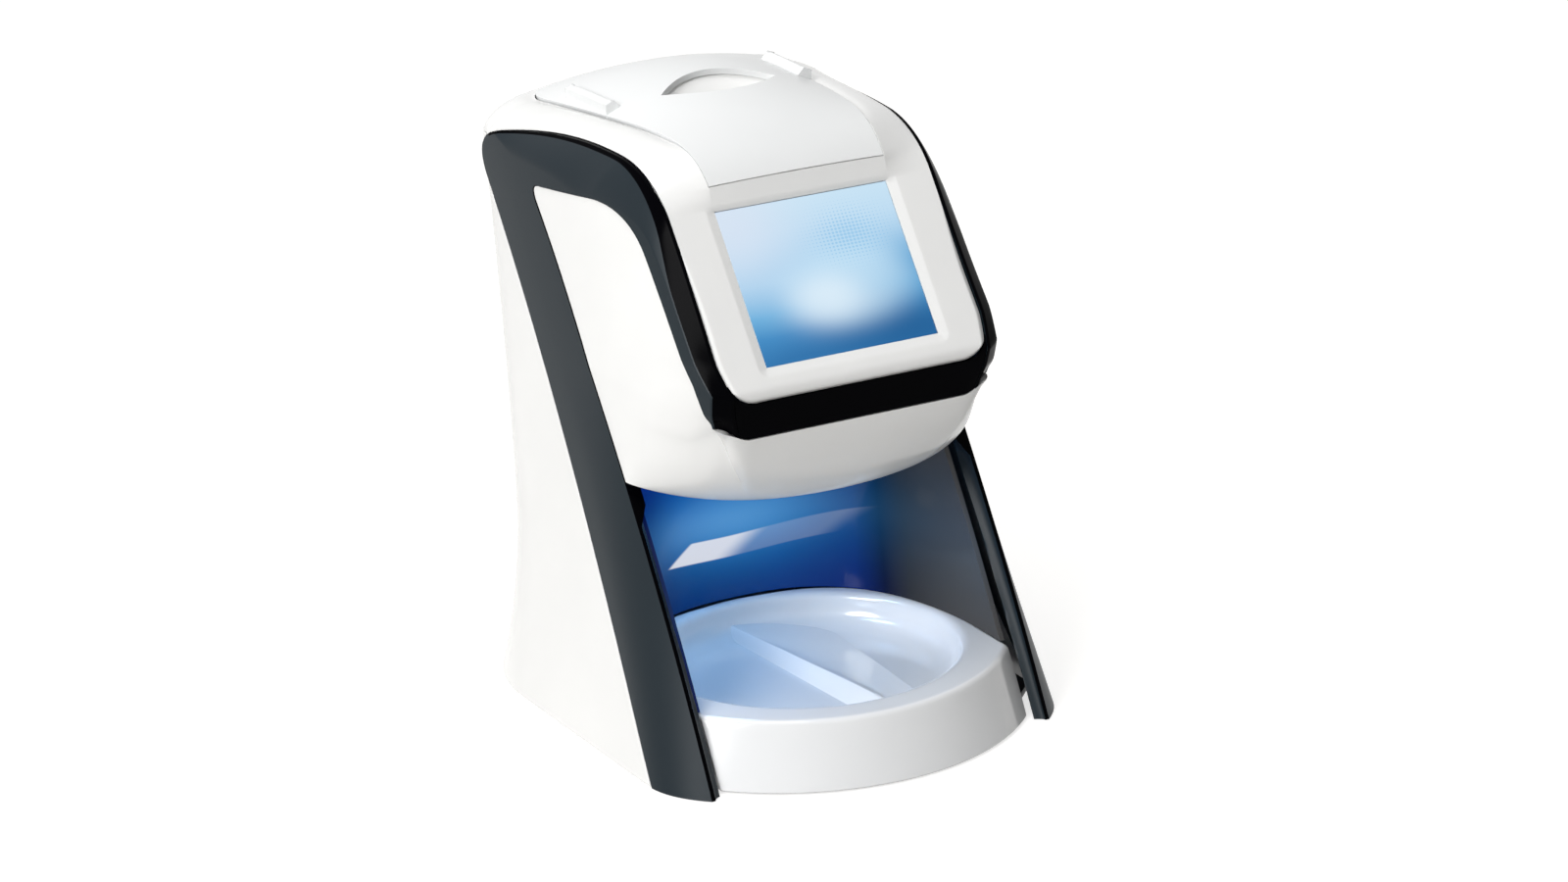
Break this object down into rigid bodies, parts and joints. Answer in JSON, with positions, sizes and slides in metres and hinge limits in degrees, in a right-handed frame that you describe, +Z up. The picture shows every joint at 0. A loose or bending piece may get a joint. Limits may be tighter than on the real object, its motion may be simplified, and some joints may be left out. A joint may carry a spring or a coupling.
{
  "type": "phosphor plate scanner",
  "caption": "Desk-top scanner for dental imaging plates: white head with a touch screen on slanting dark side frames, open blue cavity and a round pull-out tray.",
  "frame": {"origin": "on the table, under the middle of the width; in depth at the middle of the bounding box", "axes": "+Z up, the screen looks towards -Y, +X to the viewer's right when facing the screen"},
  "size_m": [0.1838, 0.2203, 0.2461],
  "materials": {
    "white_gloss": "gloss moulded plastic",
    "white_satin": "satin moulded plastic",
    "slate": "satin painted plastic",
    "black_gloss": "gloss moulded plastic",
    "black_plastic": "fine textured plastic",
    "touch_glass": "clear glass over a lit display",
    "blue_liner": "deep blue gloss plastic",
    "lamp_blue": "blue lens",
    "lamp_white": "white diffuser",
    "acrylic": "polished acrylic",
    "lens_glass": "coated glass",
    "mirror_face": "diamond-turned aluminium",
    "steel": "ground steel",
    "zinc_sheet": "zinc-plated sheet",
    "brass": "turned brass",
    "rubber": "matt rubber",
    "board_green": "coated circuit board"
  },
  "bodies": {
    "housing": {"back_plate": "zinc_sheet", "base_plate": "slate", "base_screw_1": "steel", "base_screw_2": "steel", "base_screw_3": "steel", "base_screw_4": "steel", "cavity_ceiling": "slate", "cavity_lamp_lens": "lamp_blue", "cavity_liner": "blue_liner", "display_board": "board_green", "display_panel": "zinc_sheet", "erase_lamp": "lamp_white", "exit_flap_pin": "steel", "front_hood": "white_gloss", "front_strip": "black_gloss", "guide_rod_left": "steel", "guide_rod_right": "steel", "laser_module": "black_plastic", "light_guide": "acrylic", "loading_slot_guide": "white_gloss", "lower_head_shell": "white_gloss", "main_board": "board_green", "mirror_motor": "black_plastic", "motor_bracket": "zinc_sheet", "network_socket": "zinc_sheet", "photomultiplier": "black_plastic", "power_inlet": "black_plastic", "power_switch_body": "black_plastic", "rear_connector_panel": "black_plastic", "rear_shell": "white_gloss", "rubber_foot_1": "rubber", "rubber_foot_2": "rubber", "rubber_foot_3": "rubber", "rubber_foot_4": "rubber", "scan_lens": "lens_glass", "scanner_shelf": "zinc_sheet", "screw_foot_bearing": "brass", "side_frame_left": "slate", "side_frame_right": "slate", "stepper_motor": "black_plastic", "touch_glass": "touch_glass"},
    "cover": {"top_cover": "white_satin"},
    "tray": {"receptacle_tray": "white_gloss"},
    "carriage": {"plate_carriage": "black_plastic", "lead_nut": "brass"},
    "screw": {"lead_screw": "steel"},
    "mirror": {"scan_mirror": "mirror_face"},
    "flap": {"exit_flap": "black_plastic"},
    "rocker": {"power_rocker": "black_plastic"}
  },
  "joints": [
    {"name": "cover_lift", "type": "slide", "parent": "housing", "child": "cover", "axis": [0, 0, 1], "range_m": [0, 0.06]},
    {"name": "tray_slide", "type": "slide", "parent": "housing", "child": "tray", "axis": [0, -1, 0], "range_m": [0, 0.12]},
    {"name": "carriage_slide", "type": "slide", "parent": "housing", "child": "carriage", "axis": [0, 0, -1], "range_m": [0, 0.045]},
    {"name": "screw_turn", "type": "hinge", "parent": "housing", "child": "screw", "pos_m": [0.045, 0.038, 0.16], "axis": [0, 0, 1], "range_deg": [-5, 2030]},
    {"name": "mirror_spin", "type": "hinge", "parent": "housing", "child": "mirror", "pos_m": [0, 0.047, 0.153], "axis": [0, 0, 1], "continuous": true},
    {"name": "flap_swing", "type": "hinge", "parent": "housing", "child": "flap", "pos_m": [0, 0.02, 0.1131], "axis": [1, 0, 0], "range_deg": [0, 70], "stiffness_Nm_per_rad": 0.0004, "springref_deg": -22.92},
    {"name": "rocker_tilt", "type": "hinge", "parent": "housing", "child": "rocker", "pos_m": [0.003, 0.088, 0.03], "axis": [1, 0, 0], "range_deg": [0, 18]}
  ],
  "couplings": [
    {"joint": "screw_turn", "follows": "carriage_slide", "rad_per_m": 785.4}
  ]
}
